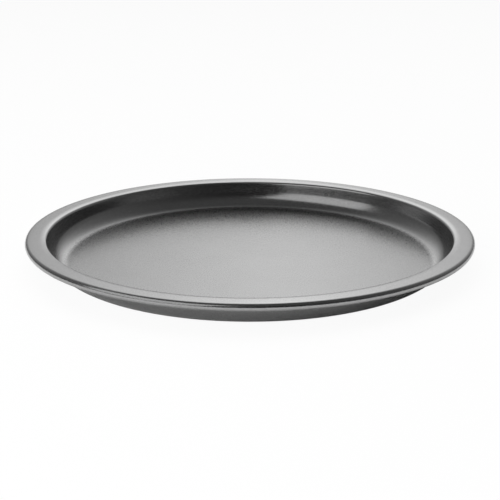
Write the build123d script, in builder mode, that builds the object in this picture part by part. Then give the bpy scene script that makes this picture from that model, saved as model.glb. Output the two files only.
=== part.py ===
from build123d import *
import math
import os

# A round pizza pan with a wired rim. It is pressed from one round sheet of steel: a flat floor,
# a cove that rises into a short steep wall, a lip that eases over a wide shoulder, and a flat
# flange. The flange's edge is rolled under round a closed ring of wire.
# Lengths are in millimetres. The floor's underside lies on the XY plane, centred on the Z axis.

# The whole pan: its width over the roll, and from the floor's upper face to the flange's
outer_diameter = 370.0
depth = 23.5

# The pressed sheet, with the radii of its upper face and how wide the flat of the flange is
sheet = 0.8
cove_radius = 16.2
wall_angle = 80.5
lip_radius = 2.4
shoulder_radius = 15.0
shoulder_angle = 17.0
flange_width = 8.5

# The wire, and the gap left where the sheet's edge tucks in under the flange
wire_diameter = 3.9
wire_clearance = 0.15
seam_gap = 0.3

# The roll hangs below the flange, and its outside is the outside of the pan
wire_radius = wire_diameter / 2
roll_bore = wire_radius + wire_clearance
roll_radius = roll_bore + sheet
roll_turn = 360 - math.degrees(math.acos((roll_bore - seam_gap) / roll_radius))

# Levels of the upper face
floor_level = sheet
flange_level = floor_level + depth
roll_centre = Vector(outer_diameter / 2 - roll_radius, flange_level - roll_radius)

# Cosines and sines of the slopes at which the cove, the lip and the shoulder meet
wall_level, wall_steep = math.cos(math.radians(wall_angle)), math.sin(math.radians(wall_angle))
slope_level, slope_steep = math.cos(math.radians(shoulder_angle)), math.sin(math.radians(shoulder_angle))

# The straight of the wall takes up the height that the bends leave, and the floor the width
cove_rise = cove_radius * (1 - wall_level)
lip_rise = lip_radius * (slope_level - wall_level)
shoulder_rise = shoulder_radius * (1 - slope_level)
wall_length = (depth - cove_rise - lip_rise - shoulder_rise) / wall_steep
cove_run = cove_radius * wall_steep
lip_run = lip_radius * (wall_steep - slope_steep)
shoulder_run = shoulder_radius * slope_steep
bends_run = cove_run + wall_length * wall_level + lip_run + shoulder_run
floor_radius = roll_centre.X - flange_width - bends_run


def sheet_face(below):
    """Draw the sheet's face that lies this far below the upper one, from the axis to the edge."""
    base = Line((0, floor_level - below), (floor_radius, floor_level - below))
    cove = JernArc(base @ 1, base % 1, cove_radius + below, wall_angle)
    wall = Line(cove @ 1, cove @ 1 + (cove % 1) * wall_length)
    lip = JernArc(wall @ 1, wall % 1, lip_radius - below, shoulder_angle - wall_angle)
    shoulder = JernArc(lip @ 1, lip % 1, shoulder_radius - below, -shoulder_angle)
    flange = Line(shoulder @ 1, shoulder @ 1 + (shoulder % 1) * flange_width)
    roll = JernArc(flange @ 1, flange % 1, roll_radius - below, -roll_turn)
    return base @ 0, roll @ 1


with BuildPart() as pan_shell:
    with BuildSketch(Plane.XZ) as pan_section:
        with BuildLine() as pan_outline:
            upper_middle, upper_edge = sheet_face(0)
            lower_middle, lower_edge = sheet_face(sheet)
            Line(upper_middle, lower_middle)
            Line(upper_edge, lower_edge)
        make_face()
    revolve(axis=Axis.Z)

with BuildPart() as rim_wire:
    with BuildSketch(Plane.XZ) as wire_section:
        with Locations(roll_centre):
            Circle(wire_radius)
    revolve(axis=Axis.Z)

os.makedirs("parts", exist_ok=True)
pan_shell.part.label = "pan_shell"
export_step(pan_shell.part, "parts/pan_shell.step")
rim_wire.part.label = "rim_wire"
export_step(rim_wire.part, "parts/rim_wire.step")
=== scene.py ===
import math

import bpy
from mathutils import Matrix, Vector


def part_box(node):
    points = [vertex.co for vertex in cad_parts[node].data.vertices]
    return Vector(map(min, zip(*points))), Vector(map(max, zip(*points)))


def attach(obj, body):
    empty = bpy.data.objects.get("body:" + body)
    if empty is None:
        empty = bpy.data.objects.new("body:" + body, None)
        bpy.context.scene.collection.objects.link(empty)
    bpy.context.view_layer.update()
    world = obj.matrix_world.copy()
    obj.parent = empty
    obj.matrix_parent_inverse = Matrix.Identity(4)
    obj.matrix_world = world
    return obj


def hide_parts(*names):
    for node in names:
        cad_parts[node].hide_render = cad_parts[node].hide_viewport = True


# A round pizza pan of pressed steel with a dark coating, on a pale floor. The pressed sheet is
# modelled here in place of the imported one, and the wire inside its rolled edge stays as packed.
# Lengths are in metres. The pan's axis is Z, and the underside of its floor lies at zero.

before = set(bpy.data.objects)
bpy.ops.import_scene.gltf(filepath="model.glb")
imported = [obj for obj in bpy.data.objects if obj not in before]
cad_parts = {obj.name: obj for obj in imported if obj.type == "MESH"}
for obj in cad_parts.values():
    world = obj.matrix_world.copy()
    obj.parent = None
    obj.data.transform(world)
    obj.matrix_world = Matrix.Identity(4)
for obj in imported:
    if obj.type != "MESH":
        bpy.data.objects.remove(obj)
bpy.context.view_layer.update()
_, shell_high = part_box("pan_shell")
wire_low, wire_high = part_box("rim_wire")

# The pressed sheet
sheet = 0.0008
floor_level = sheet
flange_level = shell_high.z
outer_radius = shell_high.x
cove_radius = 0.0162
wall_angle = math.radians(80.5)
lip_radius = 0.0024
shoulder_radius = 0.0150
shoulder_angle = math.radians(17)
flange_width = 0.0085
seam_gap = 0.0003

# The roll goes round the wire, below the flange
roll_radius = flange_level - (wire_high.z + wire_low.z) / 2
roll_bore = roll_radius - sheet
roll_turn = math.tau - math.acos((roll_bore - seam_gap) / roll_radius)

# How finely the sheet is divided, how near two points are one, and which angles look smooth
round_steps = 288
floor_steps = 10
cove_steps = 18
wall_steps = 2
lip_steps = 12
shoulder_steps = 6
flange_steps = 3
roll_steps = 30
joining_gap = seam_gap / 10
smooth_angle = math.radians(40)

# Finish of the coating: its flakes, its clouds and its orange peel
flake_scale = 1600.0
flake_tone = 0.7
flake_height = 0.15
flake_middle = 0.5
flake_roughness = 0.10
cloud_scale = 25.0
cloud_detail = 3.0
cloud_tone = 0.3
peel_scale = 1100.0
peel_detail = 2.0
peel_height = 0.000024
coat_dark = 0.31
coat_light = 0.43
coat_metallic = 1.0
coat_roughness = 0.30

# The drawn metal shines more than the floor, and the change lies between these two radii
drawn_roughness = 0.20
drawn_zone = (0.148, 0.160)

# Finish of the wire: bright lines on bare steel
line_scale = 1200.0
line_wander = 2.0
line_detail = 2.0
line_strength = 0.6
line_height = 0.00002
line_roughness = 0.1
wire_dark = 0.50
wire_light = 0.60
wire_roughness = 0.28

# The studio's floor
floor_paint = 0.88
floor_glow_share = 0.94
floor_width = 8.0
floor_drop = 0.0002

# The studio's surroundings. A ramp is written as where it starts, where it ends and its level at
# each. The room's sides run over the angle from the sweep's middle, and the others over the sine
# of the elevation.
sweep_middle = math.radians(1.5)
sweep_spread = math.radians(19)
sweep_foot = (0.17, 0.37, 0.72, 1.57)
sweep_top = (0.70, 0.96, 1.0, 0.0)
room_sides = (math.radians(60), math.radians(180), 0.13, 0.03)
room_top = (0.4, 0.95)
ceiling_level = 0.10

# The lamps. A place is azimuth and elevation in degrees and the distance from the pan, and a size
# is width and height.
pan_middle = Vector((0, 0, flange_level))
key_place = (-52, 32.5, 1.6)
key_size = (1.85, 1.42)
key_level = 0.80
fill_place = (-40, 18, 1.6)
fill_size = (1.0, 0.8)
fill_level = 4.5
overhead_place = (0, 90, 2.5)
overhead_size = (3.0, 3.0)
overhead_level = 1.8

# The camera stands where the photograph's did. Its lens and sensor are in millimetres.
view_elevation = 16.08
view_distance = 0.925
lens_length = 79.6
sensor_width = 36.0
lens_shift = (0.0001, -0.0420)


class Graph:
    """The nodes of one material or of the world."""

    def __init__(self, tree):
        self.tree = tree
        tree.nodes.clear()

    def add(self, kind, settings=None, **inputs):
        """Add a node, set it up, and give its sockets values or links.

        A socket goes by its name, with _ for a blank, or by _ and its number.
        """
        node = self.tree.nodes.new(kind)
        for name, value in (settings or {}).items():
            setattr(node, name, value)
        for name, value in inputs.items():
            key = int(name[1:]) if name[0] == "_" else name.replace("_", " ")
            self.feed(node.inputs[key], value)
        return node

    def feed(self, socket, value):
        """Link a socket to a wrapped one, or set its value."""
        if isinstance(value, Wire):
            self.tree.links.new(value.socket, socket)
        else:
            socket.default_value = value

    def wire(self, node, name=0):
        """Wrap one of a node's outputs for use in an expression."""
        return Wire(self, node.outputs[name])

    def maths(self, operation, first, second):
        """Work out one step of a sum."""
        return self.wire(self.add("ShaderNodeMath", {"operation": operation}, _0=first, _1=second))


class Wire:
    """A node's output that takes part in sums, each of which adds a Math node."""

    def __init__(self, graph, socket):
        self.graph = graph
        self.socket = socket

    def __add__(self, other):
        return self.graph.maths("ADD", self, other)

    def __sub__(self, other):
        return self.graph.maths("SUBTRACT", self, other)

    def __rsub__(self, other):
        return self.graph.maths("SUBTRACT", other, self)

    def __mul__(self, other):
        return self.graph.maths("MULTIPLY", self, other)

    def __truediv__(self, other):
        return self.graph.maths("DIVIDE", self, other)

    def __rtruediv__(self, other):
        return self.graph.maths("DIVIDE", other, self)

    __radd__ = __add__
    __rmul__ = __mul__

    def ramp(self, low, high, start=0.0, end=1.0):
        """Go smoothly from start to end as this value goes from low to high."""
        node = self.graph.add(
            "ShaderNodeMapRange",
            {"interpolation_type": "SMOOTHSTEP"},
            Value=self, From_Min=low, From_Max=high, To_Min=start, To_Max=end,
        )
        return self.graph.wire(node)


def new_material(name):
    """Make an empty material and return it with its graph."""
    material = bpy.data.materials.new(name)
    material.use_nodes = True
    return material, Graph(material.node_tree)


def blend_colours(graph, share, first, second):
    """Mix two colours by a share from 0 to 1."""
    node = graph.add("ShaderNodeMix", {"data_type": "RGBA"}, _0=share, _6=first, _7=second)
    return graph.wire(node, 2)


def grey(level):
    """A neutral colour of this level."""
    return (level, level, level, 1.0)


def coating_material():
    """Dark baked-on coating: metal flakes under a satin skin with a fine orange-peel surface."""
    material, graph = new_material("nonstick_coating")
    place = graph.wire(graph.add("ShaderNodeTexCoord"), "Object")
    cells = graph.wire(
        graph.add("ShaderNodeTexVoronoi", {}, Vector=place, Scale=flake_scale), "Color")
    flake = graph.wire(graph.add("ShaderNodeSeparateColor", {}, Color=cells), 0)
    bumps = graph.add(
        "ShaderNodeTexNoise", {}, Vector=place, Scale=peel_scale, Detail=peel_detail)
    clouds = graph.add(
        "ShaderNodeTexNoise", {}, Vector=place, Scale=cloud_scale, Detail=cloud_detail)
    spot = graph.add("ShaderNodeSeparateXYZ", {}, Vector=place)
    across, along = graph.wire(spot, "X"), graph.wire(spot, "Y")
    radius = graph.maths("SQRT", across * across + along * along, 0.0)
    drawn = radius.ramp(*drawn_zone)
    shade = flake * flake_tone + graph.wire(clouds, "Fac") * cloud_tone
    roughness = drawn.ramp(0.0, 1.0, coat_roughness, drawn_roughness)
    height = graph.wire(bumps, "Fac") + flake * flake_height
    relief = graph.add(
        "ShaderNodeBump", {}, Strength=1.0, Distance=peel_height, Height=height)
    surface = graph.add(
        "ShaderNodeBsdfPrincipled",
        {},
        Base_Color=blend_colours(graph, shade, grey(coat_dark), grey(coat_light)),
        Metallic=coat_metallic,
        Roughness=roughness + (flake - flake_middle) * flake_roughness,
        Normal=graph.wire(relief, "Normal"),
    )
    graph.add("ShaderNodeOutputMaterial", {}, Surface=graph.wire(surface))
    return material


def wire_material():
    """Bare drawn steel, with fine lines along the wire."""
    material, graph = new_material("steel_wire")
    place = graph.wire(graph.add("ShaderNodeTexCoord"), "Object")
    waves = graph.add(
        "ShaderNodeTexWave",
        {"wave_type": "RINGS", "rings_direction": "Z"},
        Vector=place, Scale=line_scale, Distortion=line_wander, Detail=line_detail,
    )
    lines = graph.wire(waves, "Fac")
    relief = graph.add(
        "ShaderNodeBump", {}, Strength=line_strength, Distance=line_height, Height=lines)
    surface = graph.add(
        "ShaderNodeBsdfPrincipled",
        {},
        Base_Color=blend_colours(graph, lines, grey(wire_dark), grey(wire_light)),
        Metallic=1.0,
        Roughness=wire_roughness + lines * line_roughness,
        Normal=graph.wire(relief, "Normal"),
    )
    graph.add("ShaderNodeOutputMaterial", {}, Surface=graph.wire(surface))
    return material


def floor_material():
    """A white floor that takes the pan's shadow and meets the white background.

    It is clear from below.
    """
    material, graph = new_material("floor_paint")
    seen = graph.wire(graph.add("ShaderNodeLightPath"), "Is Camera Ray")
    paint = graph.wire(graph.add("ShaderNodeBsdfDiffuse", {}, Color=grey(floor_paint)))
    glow = graph.wire(graph.add("ShaderNodeEmission", {}, Color=grey(1.0), Strength=1.0))
    share = seen * floor_glow_share
    above = graph.wire(graph.add("ShaderNodeMixShader", {}, _0=share, _1=paint, _2=glow))
    underneath = graph.wire(graph.add("ShaderNodeNewGeometry"), "Backfacing")
    clear = graph.wire(graph.add("ShaderNodeBsdfTransparent"))
    both = graph.add("ShaderNodeMixShader", {}, _0=underneath, _1=above, _2=clear)
    graph.add("ShaderNodeOutputMaterial", {}, Surface=graph.wire(both))
    return material


def start_outline(name, x, z):
    """Begin a piece as a single vertex of its section, in edit mode."""
    bpy.ops.object.select_all(action="DESELECT")
    bpy.ops.mesh.primitive_plane_add(size=sheet, location=(0, 0, 0))
    piece = bpy.context.object
    piece.name = name
    bpy.ops.object.mode_set(mode="EDIT")
    bpy.ops.mesh.select_all(action="SELECT")
    bpy.ops.mesh.merge(type="CENTER")
    bpy.ops.transform.translate(value=(x, 0, z))
    return piece


def run(x, z, steps):
    """Draw the outline on from its last vertex in a straight line, in equal steps."""
    for _ in range(steps):
        move = {"value": (x / steps, 0, z / steps)}
        bpy.ops.mesh.extrude_vertices_move(TRANSFORM_OT_translate=move)


def turn(centre, angle, steps):
    """Draw the outline on from its last vertex in an arc, rising when the angle is positive."""
    bpy.ops.mesh.spin(steps=steps, angle=angle, center=(centre[0], 0, centre[1]), axis=(0, 1, 0))


def make_pan():
    """Draw the section's upper face, spin it round the axis and give the sheet its thickness."""
    cove_rise = cove_radius * (1 - math.cos(wall_angle))
    lip_rise = lip_radius * (math.cos(shoulder_angle) - math.cos(wall_angle))
    shoulder_rise = shoulder_radius * (1 - math.cos(shoulder_angle))
    wall_rise = flange_level - floor_level - cove_rise - lip_rise - shoulder_rise
    wall_run = wall_rise / math.tan(wall_angle)
    lip_run = lip_radius * (math.sin(wall_angle) - math.sin(shoulder_angle))
    shoulder_run = shoulder_radius * math.sin(shoulder_angle)
    flange_end = outer_radius - roll_radius
    flange_start = flange_end - flange_width
    lip_end = flange_start - shoulder_run
    cove_start = lip_end - lip_run - wall_run - cove_radius * math.sin(wall_angle)
    lip_middle = (lip_end + lip_radius * math.sin(shoulder_angle),
                  flange_level - shoulder_rise - lip_radius * math.cos(shoulder_angle))

    pan = start_outline("pan", 0, floor_level)
    run(cove_start, 0, floor_steps)
    turn((cove_start, floor_level + cove_radius), wall_angle, cove_steps)
    run(wall_run, wall_rise, wall_steps)
    turn(lip_middle, shoulder_angle - wall_angle, lip_steps)
    turn((flange_start, flange_level - shoulder_radius), -shoulder_angle, shoulder_steps)
    run(flange_width, 0, flange_steps)
    turn((flange_end, flange_level - roll_radius), -roll_turn, roll_steps)

    bpy.ops.mesh.select_all(action="SELECT")
    bpy.ops.mesh.spin(steps=round_steps, angle=math.tau, center=(0, 0, 0), axis=(0, 0, 1))
    bpy.ops.mesh.select_all(action="SELECT")
    bpy.ops.mesh.remove_doubles(threshold=joining_gap)
    bpy.ops.mesh.normals_make_consistent(inside=False)
    bpy.ops.object.mode_set(mode="OBJECT")
    face_the_floor_up(pan)
    wall = pan.modifiers.new("sheet", "SOLIDIFY")
    wall.thickness = sheet
    wall.offset = -1
    wall.use_even_offset = True
    bpy.ops.object.modifier_apply(modifier=wall.name)
    bpy.ops.object.shade_smooth_by_angle(angle=smooth_angle)
    return pan


def face_the_floor_up(pan):
    """Turn the open surface over if its floor looks down, as its sheet is thickened downwards."""
    floor_face = min(pan.data.polygons, key=lambda face: face.center.xy.length)
    if floor_face.normal.z < 0:
        bpy.ops.object.mode_set(mode="EDIT")
        bpy.ops.mesh.flip_normals()
        bpy.ops.object.mode_set(mode="OBJECT")


def direction(azimuth, elevation):
    """A unit vector from the pan: azimuth 0 is towards the viewer and 90 to the viewer's right."""
    a, e = math.radians(azimuth), math.radians(elevation)
    return Vector((math.sin(a) * math.cos(e), -math.cos(a) * math.cos(e), math.sin(e)))


def softbox(name, place, size, brightness, mirrored):
    """Hang an area lamp that faces the pan.

    The brightness is that of its face, whatever its size. Gloss shows it only if it is mirrored.
    """
    azimuth, elevation, distance = place
    width, height = size
    lamp = bpy.data.lights.new(name, "AREA")
    lamp.shape = "RECTANGLE"
    lamp.size = width
    lamp.size_y = height
    lamp.energy = brightness * math.pi * width * height
    holder = bpy.data.objects.new(name, lamp)
    bpy.context.scene.collection.objects.link(holder)
    toward = direction(azimuth, elevation)
    holder.location = pan_middle + toward * distance
    holder.rotation_euler = toward.to_track_quat("Z", "Y").to_euler()
    holder.visible_camera = False
    holder.visible_glossy = mirrored


def light_world():
    """A white sweep behind the pan, fading to a dark room. The camera sees plain white."""
    world = bpy.data.worlds.new("studio")
    bpy.context.scene.world = world
    world.use_nodes = True
    graph = Graph(world.node_tree)
    way = graph.wire(graph.add("ShaderNodeTexCoord"), "Generated")
    parts = graph.add("ShaderNodeSeparateXYZ", {}, Vector=way)
    across = graph.maths("ARCTAN2", graph.wire(parts, "X"), graph.wire(parts, "Y"))
    aside = graph.maths("ABSOLUTE", across - sweep_middle, 0.0)
    behind = graph.maths("EXPONENT", 0 - aside / sweep_spread, 0.0)
    height = graph.wire(parts, "Z")
    sweep = behind * height.ramp(*sweep_foot) * height.ramp(*sweep_top)
    room = height.ramp(*room_top, aside.ramp(*room_sides), ceiling_level)
    seen = graph.wire(graph.add("ShaderNodeLightPath"), "Is Camera Ray")
    strength = seen + (1 - seen) * (sweep + room)
    back = graph.add("ShaderNodeBackground", {}, Color=grey(1.0), Strength=strength)
    graph.add("ShaderNodeOutputWorld", {}, Surface=graph.wire(back))


def place_camera():
    """Aim a camera at the pan from where the photograph was taken."""
    camera = bpy.data.cameras.new("camera")
    camera.sensor_width = sensor_width
    camera.lens = lens_length
    camera.shift_x, camera.shift_y = lens_shift
    viewer = bpy.data.objects.new("camera", camera)
    bpy.context.scene.collection.objects.link(viewer)
    away = direction(0, view_elevation)
    viewer.location = pan_middle + away * view_distance
    viewer.rotation_euler = away.to_track_quat("Z", "Y").to_euler()
    return viewer


pan = make_pan()
pan.data.materials.clear()
pan.data.materials.append(coating_material())
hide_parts("pan_shell")
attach(pan, "root")

wire = bpy.data.objects["rim_wire"]
for slot in wire.material_slots:
    slot.material = wire_material()

bpy.ops.object.select_all(action="DESELECT")
bpy.ops.mesh.primitive_plane_add(size=floor_width, location=(0, 0, -floor_drop))
floor = bpy.context.object
floor.name = "floor"
floor.data.materials.append(floor_material())

light_world()
softbox("softbox_key", key_place, key_size, key_level, mirrored=True)
softbox("softbox_fill", fill_place, fill_size, fill_level, mirrored=False)
softbox("overhead", overhead_place, overhead_size, overhead_level, mirrored=False)

bpy.context.scene.camera = place_camera()
bpy.context.scene.view_settings.view_transform = "Standard"
